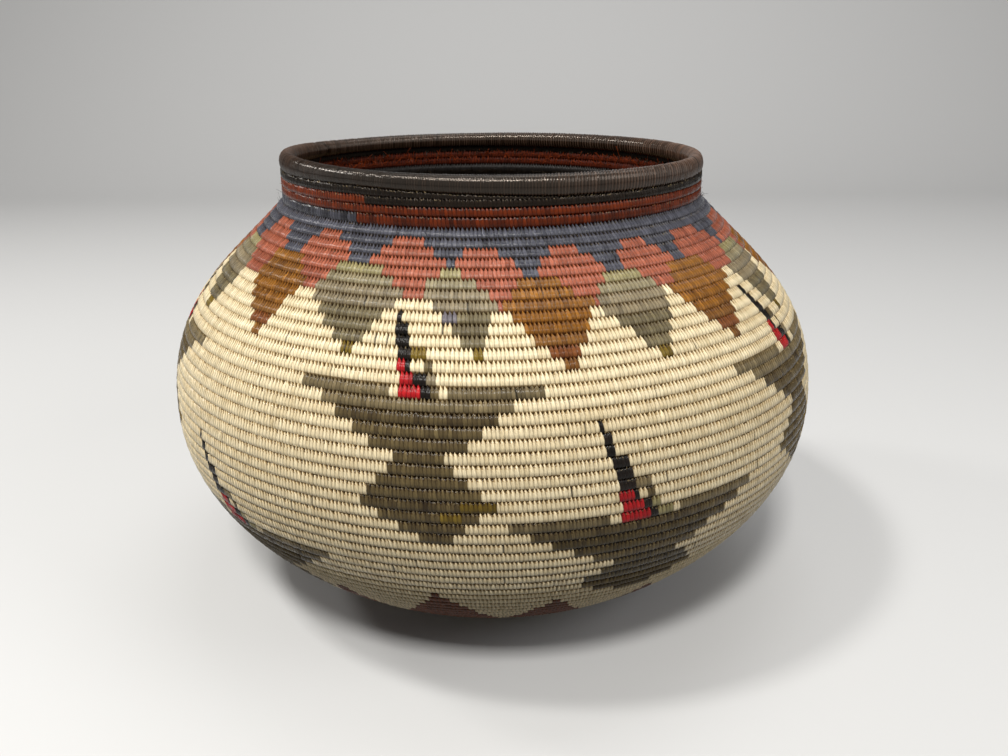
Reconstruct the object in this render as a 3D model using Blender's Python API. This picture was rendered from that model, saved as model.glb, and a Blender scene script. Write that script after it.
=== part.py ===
"""A round-bellied coiled basket, sewn round and round from a start knot to a rolled rim.

One long coil runs unbroken from the middle of the flat base, out to the heel, up over the
belly and the shoulder, and into a short upright neck, where its end tapers away under the rim.
The coil is kept here as named stretches, one for each length that the maker sewed in one go,
and each stretch is one unbroken spiral tube. The rim is a separate core with its own wrapping.
Units are metres, +Z is up, and the origin is on the ground under the middle of the base.
"""

import math

import bmesh
import bpy

# Outside of the basket, to the face of the coil
BASE_RADIUS = 0.0450
BELLY_RADIUS = 0.1114
BELLY_HEIGHT = 0.0713
NECK_RADIUS = 0.0710
NECK_FOOT_HEIGHT = 0.1375

# How the wall swings from the base to the belly and from the belly to the neck
HEEL_ANGLE = math.radians(16.0)
HEEL_REACH = 0.0222
LOWER_BELLY_REACH = 0.0381
UPPER_BELLY_REACH = 0.0349
SHOULDER_REACH = 0.0283
SHOULDER_ANGLE = math.radians(46.6)

# Distance from one round of the coil to the next, at places along the wall
PITCH_BASE = 0.0043
PITCH_HEEL = 0.0037
PITCH_BELLY = 0.00324
PITCH_SHOULDER = 0.0035
PITCH_NECK_FOOT = 0.0031
PITCH_NECK = 0.0025
SHOULDER_STATION = 0.65

# Gaps that the solids keep
ROUND_GAP = 0.0006
TOUCH_GAP = 0.0003

# The flat that the basket stands on is cut this deep into its lowest rounds
GROUND_FLAT = 0.0003

# Rounds of each stretch, counted down from where the last round begins; the heel takes the rest
NECK_ROUNDS = 4
BLACK_ROUNDS = 1
WALL_ROUNDS = (
    ("rust_neck_coil", 2),
    ("blue_collar_coil", 3),
    ("scallop_coil", 5),
    ("leaf_coil", 5),
    ("upper_belly_coil", 6),
    ("belly_coil", 7),
    ("lower_belly_coil", 7),
    ("lower_wall_coil", 8),
)
END_ANGLE = math.radians(-33.0)
END_TAPER_ANGLE = math.radians(48.0)
END_THICKNESS = 0.2
BASE_INNER_RADIUS = 0.0240

# The start knot, and the thin start of the coil that winds round it
KNOT_RADIUS = 0.0034
KNOT_HEIGHT = 0.0034
KNOT_CLEARANCE = 0.0004
START_THICKNESS = 0.3

# Rim roll, which rests on the rising last round, so it is taller where that round is low
RIM_RISE = 0.0043
RIM_HALF_WIDTH = 0.0025
RIM_WRAP_THICKNESS = 0.0005
RIM_SET_IN = 0.0022
RIM_MIDDLE_RADIUS = NECK_RADIUS - RIM_SET_IN
RIM_MOUTH_ANGLE = math.radians(32.0)
RIM_STEPS = 32

# Where the two ends of the roll overlap, it stands higher
RIM_LAP_RISE = 0.0016
RIM_LAP_ANGLE = math.radians(-75.0)
RIM_LAP_REACH = math.radians(60.0)

# Fineness of the solids
LOOP_POINTS = 16
CURVE_SAMPLES = 240
LINE_STEP = 0.00025

COLOURS = {
    "start_knot": (0.34, 0.22, 0.10),
    "base_inner_coil": (0.20, 0.07, 0.03),
    "base_outer_coil": (0.62, 0.52, 0.34),
    "heel_coil": (0.66, 0.56, 0.37),
    "lower_wall_coil": (0.70, 0.61, 0.41),
    "lower_belly_coil": (0.73, 0.64, 0.44),
    "belly_coil": (0.74, 0.66, 0.46),
    "upper_belly_coil": (0.74, 0.66, 0.46),
    "leaf_coil": (0.36, 0.20, 0.07),
    "scallop_coil": (0.55, 0.18, 0.10),
    "blue_collar_coil": (0.12, 0.14, 0.20),
    "rust_neck_coil": (0.30, 0.06, 0.03),
    "black_neck_coil": (0.03, 0.025, 0.02),
    "rim_core": (0.30, 0.20, 0.10),
    "rim_wrap": (0.035, 0.028, 0.022),
}


def clear_scene():
    for old in list(bpy.data.objects):
        bpy.data.objects.remove(old)


def collection(name):
    group = bpy.data.collections.new(name)
    bpy.context.scene.collection.children.link(group)
    return group


def material(name, roughness=0.6):
    mat = bpy.data.materials.new(name)
    mat.use_nodes = True
    shader = mat.node_tree.nodes["Principled BSDF"]
    shader.inputs["Base Color"].default_value = (*COLOURS[name], 1.0)
    shader.inputs["Roughness"].default_value = roughness
    shader.inputs["Metallic"].default_value = 0.0
    return mat


def bezier(start, start_handle, end_handle, end):
    """Points along one cubic curve in the plane of radius and height."""
    points = []
    for i in range(CURVE_SAMPLES + 1):
        t = i / CURVE_SAMPLES
        weights = ((1 - t) ** 3, 3 * t * (1 - t) ** 2, 3 * t * t * (1 - t), t ** 3)
        corners = (start, start_handle, end_handle, end)
        radius = sum(w * c[0] for w, c in zip(weights, corners))
        height = sum(w * c[1] for w, c in zip(weights, corners))
        points.append((radius, height))
    return points


def outline_parts():
    """Outer face of the coil in four runs: flat base, lower wall, upper wall and neck."""
    middle = (first_round_radius() - PITCH_BASE, -GROUND_FLAT)
    base = (BASE_RADIUS, -GROUND_FLAT)
    belly = (BELLY_RADIUS, BELLY_HEIGHT)
    neck = (NECK_RADIUS, NECK_FOOT_HEIGHT)
    heel_handle = (
        base[0] + HEEL_REACH * math.cos(HEEL_ANGLE),
        base[1] + HEEL_REACH * math.sin(HEEL_ANGLE),
    )
    lower_handle = (belly[0], belly[1] - LOWER_BELLY_REACH)
    upper_handle = (belly[0], belly[1] + UPPER_BELLY_REACH)
    shoulder_handle = (
        neck[0] + SHOULDER_REACH * math.cos(SHOULDER_ANGLE),
        neck[1] - SHOULDER_REACH * math.sin(SHOULDER_ANGLE),
    )
    past_neck = (NECK_RADIUS, neck_top() + 2 * PITCH_NECK)
    return (
        [middle, base],
        bezier(base, heel_handle, lower_handle, belly),
        bezier(belly, upper_handle, shoulder_handle, neck),
        [neck, past_neck],
    )


def first_round_radius():
    """Where the coil has its full thickness for the first time, beside the knot."""
    return KNOT_RADIUS + KNOT_CLEARANCE + (PITCH_BASE - ROUND_GAP) / 2


def neck_top():
    return NECK_FOOT_HEIGHT + NECK_ROUNDS * PITCH_NECK


def start_turns():
    """Turns over which the thin start of the coil grows to its full thickness."""
    return (1 - START_THICKNESS) * (PITCH_BASE - ROUND_GAP) / PITCH_BASE


def end_turn():
    """Turn at which the thinned end of the coil stops."""
    return END_TAPER_ANGLE / math.tau


def lengths_along(points):
    lengths = [0.0]
    for before, after in zip(points, points[1:]):
        lengths.append(lengths[-1] + math.dist(before, after))
    return lengths


def value_at(place, places, values):
    """Value at a place between listed places, on straight lines; a value may be a tuple."""
    low, high = 0, len(places) - 1
    while high - low > 1:
        middle = (low + high) // 2
        if places[middle] <= place:
            low = middle
        else:
            high = middle
    share = (place - places[low]) / (places[high] - places[low])
    share = min(max(share, 0.0), 1.0)
    if isinstance(values[low], tuple):
        return tuple(a + (b - a) * share for a, b in zip(values[low], values[high]))
    return values[low] + (values[high] - values[low]) * share


def coil_line():
    """The coil cut through the basket, from the start knot to above the neck.

    Each entry has the radius and height of the coil's outer face, the slope of the wall there,
    the distance between rounds and the side of the coil's square section. Where the wall bulges,
    the rounds come closer on the inside, so the section is smaller by as much.
    """
    parts = outline_parts()
    outline = parts[0] + parts[1][1:] + parts[2][1:] + parts[3][1:]
    lengths = lengths_along(outline)
    base, lower, upper, neck = (lengths_along(part)[-1] for part in parts)
    stations = (
        (0.0, PITCH_BASE),
        (base, PITCH_HEEL),
        (base + lower, PITCH_BELLY),
        (base + lower + upper * SHOULDER_STATION, PITCH_SHOULDER),
        (base + lower + upper, PITCH_NECK_FOOT),
        (base + lower + upper + PITCH_NECK_FOOT, PITCH_NECK),
        (lengths[-1], PITCH_NECK),
    )
    places = [place for place, _ in stations]
    pitches = [pitch for _, pitch in stations]

    def slope_at(place, reach):
        before = value_at(max(place - reach, 0.0), lengths, outline)
        after = value_at(min(place + reach, lengths[-1]), lengths, outline)
        return math.atan2(after[1] - before[1], after[0] - before[0])

    line = []
    count = round(lengths[-1] / LINE_STEP)
    for i in range(count + 1):
        place = lengths[-1] * i / count
        radius, height = value_at(place, lengths, outline)
        pitch = value_at(place, places, pitches)
        slope = slope_at(place, pitch)
        bend = slope_at(place + pitch / 2, pitch) - slope_at(place - pitch / 2, pitch)
        closing = 2 * math.tan(max(bend, 0.0) / 2)
        side = (pitch - ROUND_GAP) / (1 + closing)
        line.append((radius, height, slope, pitch, side))
    return line


def turns_along(line):
    """Turns of the coil from its start to each entry of the line."""
    turns = [0.0]
    for before, after in zip(line, line[1:]):
        pitch = (before[3] + after[3]) / 2
        turns.append(turns[-1] + math.dist(before[:2], after[:2]) / pitch)
    return turns


class Coil:
    """The coil's run: places on it by turn, where turn 0 is where the last round begins."""

    def __init__(self):
        self.line = coil_line()
        self.turns = turns_along(self.line)
        heights = [entry[1] for entry in self.line]
        self.before_last = value_at(neck_top() - PITCH_NECK / 2, heights, self.turns)
        self.first_full = self.turn_at_radius(first_round_radius())
        self.first = self.first_full - start_turns()

    def entry(self, turn):
        """Radius, height, slope, pitch and side at a turn."""
        return value_at(turn + self.before_last, self.turns, self.line)

    def turn_at_radius(self, radius):
        """Turn at which the flat base reaches a radius."""
        radii = [entry[0] for entry in self.line if entry[1] <= 0.0]
        return value_at(radius, radii, self.turns[:len(radii)]) - self.before_last

    def corner(self, index):
        """A corner of the faceted coil, on the fixed set of angles that every round shares."""
        angle = index * math.tau / LOOP_POINTS
        turn = (angle - END_ANGLE) / math.tau
        radius, height, slope, pitch, side = self.entry(turn)
        if turn > 0:
            loss = (1 - END_THICKNESS) * side * turn / end_turn()
            height -= loss / 2
            side -= loss
        elif turn < self.first_full:
            radius += (self.first_full - turn) * pitch / 2
            side -= (self.first_full - turn) * pitch
        spread = 1 / math.sqrt(math.cos(math.pi / LOOP_POINTS))
        middle_radius = radius * spread - side / 2 * math.sin(slope)
        middle_height = height + side / 2 * math.cos(slope)
        return (middle_radius * math.sin(angle), -middle_radius * math.cos(angle), middle_height, slope, side)

    def place(self, turn):
        """Any place on the faceted coil, between its corners."""
        index = (turn * math.tau + END_ANGLE) * LOOP_POINTS / math.tau
        low = math.floor(index)
        return value_at(index, (low, low + 1), (self.corner(low), self.corner(low + 1)))

    def stretch(self, first, last):
        """Points of one stretch, with its ends held back from the stretches it meets."""
        first += TOUCH_GAP / 2 / (math.tau * self.entry(first)[0])
        last -= TOUCH_GAP / 2 / (math.tau * self.entry(last)[0])
        to_index = LOOP_POINTS / math.tau
        low = (first * math.tau + END_ANGLE) * to_index
        high = (last * math.tau + END_ANGLE) * to_index
        margin = 0.15
        points = [self.place(first)]
        for index in range(math.ceil(low + margin), math.floor(high - margin) + 1):
            points.append(self.corner(index))
        points.append(self.place(last))
        return points


def section_corner(point, along, out):
    """A corner of the square section, half a side along the wall and half a side out of it."""
    x, y, height, slope, side = point
    radius = math.hypot(x, y)
    step_out = side / 2 * (along * math.cos(slope) + out * math.sin(slope))
    step_up = side / 2 * (along * math.sin(slope) - out * math.cos(slope))
    scale = (radius + step_out) / radius
    return (x * scale, y * scale, height + step_up)


def least_gap(points):
    """Least gap between a round and the next one, measured between the corners of their sections."""
    gaps = []
    for lower, upper in zip(points[1:], points[1 + LOOP_POINTS:-1]):
        for out in (-1, 1):
            gap = math.dist(section_corner(lower, 1, out), section_corner(upper, -1, out))
            gaps.append(gap * math.cos(math.pi / LOOP_POINTS))
    return min(gaps) if gaps else None


def coil_tube(name, points, group):
    """One unbroken spiral tube of square section, turned to lie along the wall."""
    widest = max(point[4] for point in points)
    curve = bpy.data.curves.new(name, "CURVE")
    curve.dimensions = "3D"
    curve.twist_mode = "Z_UP"
    curve.bevel_depth = widest / math.sqrt(2)
    curve.bevel_resolution = 0
    curve.use_fill_caps = True
    spline = curve.splines.new("POLY")
    spline.points.add(len(points) - 1)
    for node, (x, y, height, slope, side) in zip(spline.points, points):
        node.co = (x, y, height, 1.0)
        node.tilt = math.radians(135.0) - slope
        node.radius = side / widest
    tube = bpy.data.objects.new(name, curve)
    group.objects.link(tube)
    curve.materials.append(material(name))
    return tube


def as_mesh(tube, group):
    """The tube as a mesh with its caps welded, so that it can be cut."""
    bpy.context.view_layer.update()
    shape = tube.evaluated_get(bpy.context.evaluated_depsgraph_get())
    mesh = bpy.data.meshes.new_from_object(shape)
    shell = bmesh.new()
    shell.from_mesh(mesh)
    bmesh.ops.remove_doubles(shell, verts=shell.verts, dist=0.000001)
    shell.to_mesh(mesh)
    shell.free()
    name = tube.name
    curve = tube.data
    solid = bpy.data.objects.new(name + "_solid", mesh)
    solid.matrix_world = tube.matrix_world
    group.objects.link(solid)
    if not mesh.materials:
        mesh.materials.append(curve.materials[0])
    bpy.data.objects.remove(tube)
    solid.name = name
    return solid


def ground_cutter(group):
    """A slab whose top is the ground, which cuts the flat that the basket stands on."""
    depth = 0.01
    bpy.ops.mesh.primitive_cube_add(size=1.0, location=(0.0, 0.0, -depth / 2))
    slab = bpy.context.object
    slab.name = "ground_cutter"
    slab.scale = (3 * BELLY_RADIUS, 3 * BELLY_RADIUS, depth)
    slab.hide_render = True
    slab.display_type = "WIRE"
    for owner in list(slab.users_collection):
        owner.objects.unlink(slab)
    group.objects.link(slab)
    return slab


def cut_flat(solid, slab):
    cut = solid.modifiers.new("ground_flat", "BOOLEAN")
    cut.operation = "DIFFERENCE"
    cut.solver = "EXACT"
    cut.object = slab


def start_knot(group, slab):
    """The knot in the middle of the base that the coil starts round, a small flattened bead."""
    bpy.ops.mesh.primitive_uv_sphere_add(segments=12, ring_count=8, radius=KNOT_RADIUS)
    knot = bpy.context.object
    knot.name = "start_knot"
    for vertex in knot.data.vertices:
        vertex.co.z *= KNOT_HEIGHT / 2 / KNOT_RADIUS
    knot.location = (0.0, 0.0, KNOT_HEIGHT / 2 - GROUND_FLAT)
    knot.data.materials.append(material("start_knot"))
    knot.data.shade_smooth()
    for owner in list(knot.users_collection):
        owner.objects.unlink(knot)
    group.objects.link(knot)
    cut_flat(knot, slab)
    return knot


def coil_top(angle):
    """Height of the top of the coil, whose last round rises once round, with its thinned end on it."""
    turn = (angle - END_ANGLE) / math.tau % 1.0
    top = neck_top() + (turn - 1) * PITCH_NECK - ROUND_GAP / 2
    if turn < end_turn():
        lying_end = 1 - (1 - END_THICKNESS) * turn / end_turn()
        top += ROUND_GAP + lying_end * (PITCH_NECK - ROUND_GAP)
    return top


def rim_foot(angle):
    """Height of the foot of the roll, clear of the coil from the step before to the step after."""
    step = math.tau / RIM_STEPS
    return max(coil_top(angle + offset) for offset in (-step, 0.0, step)) + TOUCH_GAP


def rim_top(angle):
    away = abs(math.remainder(angle - RIM_LAP_ANGLE, math.tau)) / RIM_LAP_REACH
    lap = math.cos(min(away, 1.0) * math.pi / 2) ** 2
    return neck_top() + RIM_RISE + RIM_LAP_RISE * lap


def rim_section(angle, inset, first, last, steps):
    """Points round the oval roll at one place along the rim, by angle clockwise from its top."""
    lip_share = math.cos(RIM_MOUTH_ANGLE)
    foot = rim_foot(angle)
    half_height = (rim_top(angle) - foot) / (1 + lip_share)
    middle = foot + half_height * lip_share
    points = []
    for i in range(steps + 1):
        around = first + (last - first) * i / steps
        radius = RIM_MIDDLE_RADIUS + (RIM_HALF_WIDTH - inset) * math.sin(around)
        points.append((radius, middle + (half_height - inset) * math.cos(around)))
    return points


def lofted_ring(name, section_at, group):
    """A closed ring, lofted round Z through its changing section."""
    shell = bmesh.new()
    loops = []
    for step in range(RIM_STEPS):
        angle = math.tau * step / RIM_STEPS
        x_share, y_share = math.sin(angle), -math.cos(angle)
        corners = [shell.verts.new((r * x_share, r * y_share, z)) for r, z in section_at(angle)]
        edges = [shell.edges.new(pair) for pair in zip(corners, corners[1:] + corners[:1])]
        loops.append(edges)
    for edges, following in zip(loops, loops[1:] + loops[:1]):
        bmesh.ops.bridge_loops(shell, edges=edges + following)
    bmesh.ops.recalc_face_normals(shell, faces=shell.faces)
    mesh = bpy.data.meshes.new(name)
    shell.to_mesh(mesh)
    shell.free()
    mesh.shade_smooth()
    mesh.materials.append(material(name, roughness=0.35))
    ring = bpy.data.objects.new(name, mesh)
    group.objects.link(ring)
    return ring


def rim(group):
    """The rim roll: a core of fibre, and a wrapping that is open below, where it is sewn down."""
    core_sides = 8
    core_inset = RIM_WRAP_THICKNESS + TOUCH_GAP
    wrap_steps = 9
    open_from = math.pi - RIM_MOUTH_ANGLE

    def core_section(angle):
        return rim_section(angle, core_inset, 0.0, math.tau * (1 - 1 / core_sides), core_sides - 1)

    def wrap_section(angle):
        outside = rim_section(angle, 0.0, -open_from, open_from, wrap_steps)
        inside = rim_section(angle, RIM_WRAP_THICKNESS, open_from, -open_from, wrap_steps)
        return outside + inside

    lofted_ring("rim_core", core_section, group)
    lofted_ring("rim_wrap", wrap_section, group)


def stretches(coil):
    """Names and turns of the coil's stretches, from the rim down to the base.

    Each stretch is some whole rounds, so they all meet above one another where the last one ends.
    """
    rows = [("black_neck_coil", -BLACK_ROUNDS, end_turn())]
    top = -BLACK_ROUNDS
    for name, rounds in WALL_ROUNDS:
        rows.append((name, top - rounds, top))
        top -= rounds
    base_edge = round(coil.turn_at_radius(BASE_RADIUS))
    base_inner_edge = round(coil.turn_at_radius(BASE_INNER_RADIUS))
    rows.append(("heel_coil", base_edge, top))
    rows.append(("base_outer_coil", base_inner_edge, base_edge))
    rows.append(("base_inner_coil", coil.first, base_inner_edge))
    return rows


def main():
    clear_scene()
    basket = collection("coiled_basket")
    cutters = collection("cutters")
    slab = ground_cutter(cutters)
    start_knot(basket, slab)
    coil = Coil()
    for name, first, last in stretches(coil):
        points = coil.stretch(first, last)
        gap = least_gap(points)
        print(f"{name}: {last - first:.2f} rounds, least gap {gap * 1000:.2f} mm" if gap else name)
        tube = coil_tube(name, points, basket)
        lowest = min(point[2] - point[4] for point in points)
        if lowest < 0:
            cut_flat(as_mesh(tube, basket), slab)
    rim(basket)


main()
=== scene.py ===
"""Looks of the coiled basket: every round of the coil as sewn strands, in its dyes.

The coil is followed from the start knot to the rim, as the solids follow it. One stitch is
modelled from listed points, repeated in a row by an Array modifier, and the row is bent along the
coil.
A chart, read row by row from the basket's front, says which dye each stitch has.
"""

import math

import bpy
import numpy as np
from mathutils import Matrix, Vector


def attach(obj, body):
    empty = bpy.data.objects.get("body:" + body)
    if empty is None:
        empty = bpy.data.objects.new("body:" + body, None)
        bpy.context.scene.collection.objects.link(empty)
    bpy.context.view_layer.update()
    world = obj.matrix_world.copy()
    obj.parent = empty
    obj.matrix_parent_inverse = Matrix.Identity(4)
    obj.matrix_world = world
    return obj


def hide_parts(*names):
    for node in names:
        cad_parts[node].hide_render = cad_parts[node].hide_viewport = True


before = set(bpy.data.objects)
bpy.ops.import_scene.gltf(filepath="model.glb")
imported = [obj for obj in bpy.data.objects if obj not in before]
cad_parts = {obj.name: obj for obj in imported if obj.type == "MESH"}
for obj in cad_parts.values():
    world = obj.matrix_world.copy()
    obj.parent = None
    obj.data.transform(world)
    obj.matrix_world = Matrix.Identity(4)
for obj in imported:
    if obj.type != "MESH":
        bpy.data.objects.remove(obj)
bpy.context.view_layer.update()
random = np.random.default_rng(41)

MILLIMETRE = 0.001

# Floor and wall of the stage: their size, their looks and what they throw back
STAGE_WIDTH = 6.0
STAGE_FRONT = 2.5
STAGE_BACK = 1.4
STAGE_HEIGHT = 2.4
STAGE_BEND = 0.5
STAGE_BEND_STEPS = 16
STAGE_GAP = 0.0001
FLOOR_PALENESS = 0.60
FLOOR_BOUNCE = 0.05
FLOOR_ROUGHNESS = 0.7

# Lamps: name, place, aim, size, power and colour, and the light of the room around them
WARM = (1.0, 0.985, 0.95)
NEUTRAL = (1.0, 1.0, 1.0)
LAMPS = (
    ("key_light", (-0.12, -0.84, 1.12), (0.0, 0.0, 0.08), 0.20, 13.4, WARM),
    ("top_light", (-0.52, -0.30, 1.15), (0.0, 0.0, 0.08), 0.145, 6.5, WARM),
    ("left_light", (-0.90, 0.21, 0.70), (0.0, 0.0, 0.12), 0.145, 2.4, WARM),
    ("right_fill", (0.90, -0.50, 0.75), (0.0, 0.0, 0.08), 0.50, 3.2, NEUTRAL),
    ("wall_light", (0.3, 0.35, 1.6), (0.0, 1.3, 0.5), 1.0, 9.0, NEUTRAL),
)
ROOM_COLOUR = (1.0, 0.98, 0.95, 1.0)
ROOM_PALENESS = 0.9
ROOM_LIGHT = 0.16

# Camera
IMAGE_WIDTH = 1008
FOCAL_PIXELS = 880.0
SENSOR_WIDTH = 36.0
NEAREST_SEEN = 0.01
CAMERA_PLACE = (0.0, -0.3104, 0.1818)
CAMERA_DOWN = math.radians(20.15)
CAMERA_RIGHT = math.radians(0.70)
CAMERA_ROLL = math.radians(-0.3)

# The wall, as the solids have it
BASE_RADIUS = 0.0450
BELLY_RADIUS = 0.1114
BELLY_HEIGHT = 0.0713
NECK_RADIUS = 0.0710
NECK_FOOT_HEIGHT = 0.1375
NECK_ROUNDS = 4
HEEL_ANGLE = math.radians(16.0)
HEEL_REACH = 0.0222
LOWER_BELLY_REACH = 0.0381
UPPER_BELLY_REACH = 0.0349
SHOULDER_REACH = 0.0283
SHOULDER_ANGLE = math.radians(46.6)
PITCH_BASE = 0.0043
PITCH_HEEL = 0.0037
PITCH_BELLY = 0.00324
PITCH_SHOULDER = 0.0035
PITCH_NECK_FOOT = 0.0031
PITCH_NECK = 0.0025
SHOULDER_STATION = 0.65
GROUND_SINK = 0.0003
NECK_TOP = NECK_FOOT_HEIGHT + NECK_ROUNDS * PITCH_NECK
FIRST_ROUND_RADIUS = 0.00565
CURVE_POINTS = 241
WALL_STEP = 0.0001
STEPS_AT_THE_MIDDLE = 200
ROUNDS_TO_SPARE = 3

# The coil's run: turn 0 is where the last round begins, and rounds below it count down
END_DEGREES = -33.0
END_ANGLE = math.radians(END_DEGREES)
ROW_DROP = 0.0917
END_TURN = 48.0 / 360.0
END_THICKNESS = 0.15
START_TAPER = 0.7
RUN_POINTS = 4000

# Finishes of the strands: roughness, gloss, pale flecks at the tips (partly painted glints),
# streaks, tone of the seams between strands, depth of the bump in metres and colour of the sheen
PLAIN_SHEEN = (1.0, 1.0, 1.0, 1.0)
BROWN_SHEEN = (1.0, 0.86, 0.74, 1.0)
FINISHES = {
    "dyed_palm_strand": (0.20, 0.135, 0.2, 0.34, 0.52, 0.00010, PLAIN_SHEEN),
    "sleek_palm_strand": (0.18, 0.23, 0.1, 0.34, 0.52, 0.00010, PLAIN_SHEEN),
    "worn_palm_strand": (0.40, 0.06, 0.1, 0.34, 0.52, 0.00010, PLAIN_SHEEN),
    "black_palm_strand": (0.15, 0.155, 0.20, 0.34, 0.52, 0.00014, BROWN_SHEEN),
    "wound_rim_strand": (0.14, 0.36, 0.0, 0.35, 0.2, 0.00006, BROWN_SHEEN),
}
# Pale flecks at the stitches' tips, partly bare fibre and partly painted glints
FLECK_COLOUR = (196, 172, 124)

# Raw fibre in the core of the rim
BUNDLE_TONES = ((120, 96, 62), (196, 170, 120))
BUNDLE_GRAIN = (900.0, 900.0, 900.0)
BUNDLE_ROUGHNESS = 0.8

# What the finishes do on a strand: how the noise of the fibres and the flecks is stretched, the
# levels between which a look comes in, the reach of the seams and of the rounding of a strand,
# and the painted shade down between the rounds
FIBRE_STRETCH = (7.0, 1.4, 1.0)
FIBRE_LEVELS = (0.3, 0.7)
FIBRE_BRIGHTENING = 0.6
FLECK_STRETCH = (2.3, 5.0, 1.0)
FLECK_LEVELS = (0.65, 0.73)
TIP_LEVELS = (0.30, 0.50)
OUTER_FACE = -1.5
INNER_FACE_LEVELS = (-2.9, -2.2)
INNER_ROUGHNESS = 0.65
# Painted shade in the slits between stitches
SLIT_LEVELS = (0.25, 0.8)
SLIT_PAINTED_SHADE = 0.2
SEAM_REACH = 0.18
ROUNDING_REACH = 0.25
BUMP_STRENGTH = 0.7
# Painted shade down between the rounds, from none on the open face to the deepest in the gaps
OPEN_TONE = (1.0, 1.0, 1.0, 1.0)
DEEP_PAINTED_SHADE = (0.08, 0.05, 0.025, 1.0)
HALF_DEEP_PAINTED_SHADE = (0.35, (0.42, 0.34, 0.24, 1.0))

# Stretches of the coil: the node that each stands for, its finish, and the turns at which its
# strips begin and end. None is the coil's own start, beside the knot.
STRETCHES = (
    ("base_inner_coil", "worn_palm_strand", (None, -63)),
    ("base_outer_coil", "worn_palm_strand", (-63, -57)),
    ("heel_coil", "worn_palm_strand", (-57, -50, -44)),
    ("lower_wall_coil", "worn_palm_strand", (-44, -40, -36)),
    ("lower_belly_coil", "dyed_palm_strand", (-36, -32, -29)),
    ("belly_coil", "dyed_palm_strand", (-29, -26, -22)),
    ("upper_belly_coil", "dyed_palm_strand", (-22, -16)),
    ("leaf_coil", "dyed_palm_strand", (-16, -11)),
    ("scallop_coil", "sleek_palm_strand", (-11, -6)),
    ("blue_collar_coil", "sleek_palm_strand", (-6, -3)),
    ("rust_neck_coil", "dyed_palm_strand", (-3, -1)),
    ("black_neck_coil", "black_palm_strand", (-1, END_TURN)),
)

# One stitch: the ridge of a strand and the groove beside it, up the wall in pitches and outwards
# in millimetres at the belly, from the tip of the stitch down the outside and up the inside
STITCH_WIDTH = 0.00117
STITCH_LEAN = 0.30
RIDGE = (
    (0.76, -0.12), (0.63, 0.03), (0.34, 0.04), (0.04, 0.15), (-0.24, -0.03), (-0.42, -0.50),
    (-0.53, -1.25), (-0.45, -2.60), (-0.10, -3.10), (0.30, -3.08), (0.72, -2.96), (0.52, -1.00),
)
GROOVE = (
    (0.51, -1.10), (0.46, -0.62), (0.36, -0.18), (0.04, 0.08), (-0.24, -0.10), (-0.42, -0.62),
    (-0.53, -1.35), (-0.44, -2.45), (-0.10, -3.00), (0.25, -2.90), (0.45, -2.35), (0.50, -1.20),
)
THICKNESS = 3.1
TIP_FROM = 0.7
OUTSIDE_FROM = -0.5

# Painted shade down between the rounds, which comes in under the outer face and goes by the inner
# one
SHADE_FROM = 0.05
SHADE_GROWTH = 1.5
SHADE_TO = 0.25

# A slow wander is a sum of waves, each longer than the one before
WAVES = 5
WAVE_GROWTH = 0.73
WAVE_SUM = 2.6

# How unlike one another the stitches are: a slow wander along the coil, then place, tip, swell and
# lean of each, and the slits where two stand apart
WANDER = 0.25
WANDER_LENGTH = 9.0
PLACE_SPREAD = 0.06
TIP_SPREAD = 0.05
SWELL_SPREAD = 0.035
LEAN_SPREAD = 0.10
SLIT_SHARE = 0.015
SLIT_DEPTH = 0.25
SLIT_SIZES = (0.4, 1.0)

# Rounds whose inner side lies in the dark below the neck, and how dark the shade painted on it is
DARK_INNER_TURNS = (-4.4, -3.0)
DARK_INNER_FROM = -2.0
DARK_INNER_PAINTED_SHADE = 0.85

# Loose ends of fibre: those inside the neck as number, first and last turn and lift, those outside
# as number, turns, degrees, lengths in millimetres and lift, and a few longer ones by turn, place,
# side, length and lift
FIBRE_STEPS = 4
FIBRE_SPACING = 10.0
FIBRE_WIDTH = 0.0002
FIBRE_THINNING = 0.7
FIBRE_ROOT = 0.0004
FIBRE_LEAN = 0.7
FIBRE_BEND = 0.5
FIBRE_WEAVE = (0.5, 0.1)
INNER_WIDTH = 0.00034
INNER_FIBRES = ((560, -2.95, -1.0, 1.8), (320, -1.0, -0.45, -1.8), (300, -4.4, -3.0, 0.8))
INNER_PLACES = (95, 265)
INNER_LENGTHS = (1.0, 2.6)
# Fibres inside are made paler, as painted light, and those below the neck take the black dye, as
# painted shade
INNER_PAINTED_LIGHT = 1.5
INNER_PAINTED_SHADE_DYE_TURN = -0.5
OUTER_FIBRES = (
    (130, (-7.0, -0.6), (-130, 130), (0.7, 1.6), 0.3),
    (60, (-36.0, -8.0), (-180, 180), (0.5, 1.0), 0.1),
)
LONG_FIBRES = (
    (-17.6, -19.5, 1, 3.4, 0.2), (-3.6, -84.0, 1, 2.0, 0.8), (-3.7, -86.0, 1, 1.6, 1.0),
    (-4.0, 84.0, 1, 2.2, 0.9), (-1.2, 158.0, -1, 4.2, 1.6), (-1.5, 162.0, -1, 3.6, 1.4),
)

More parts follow.
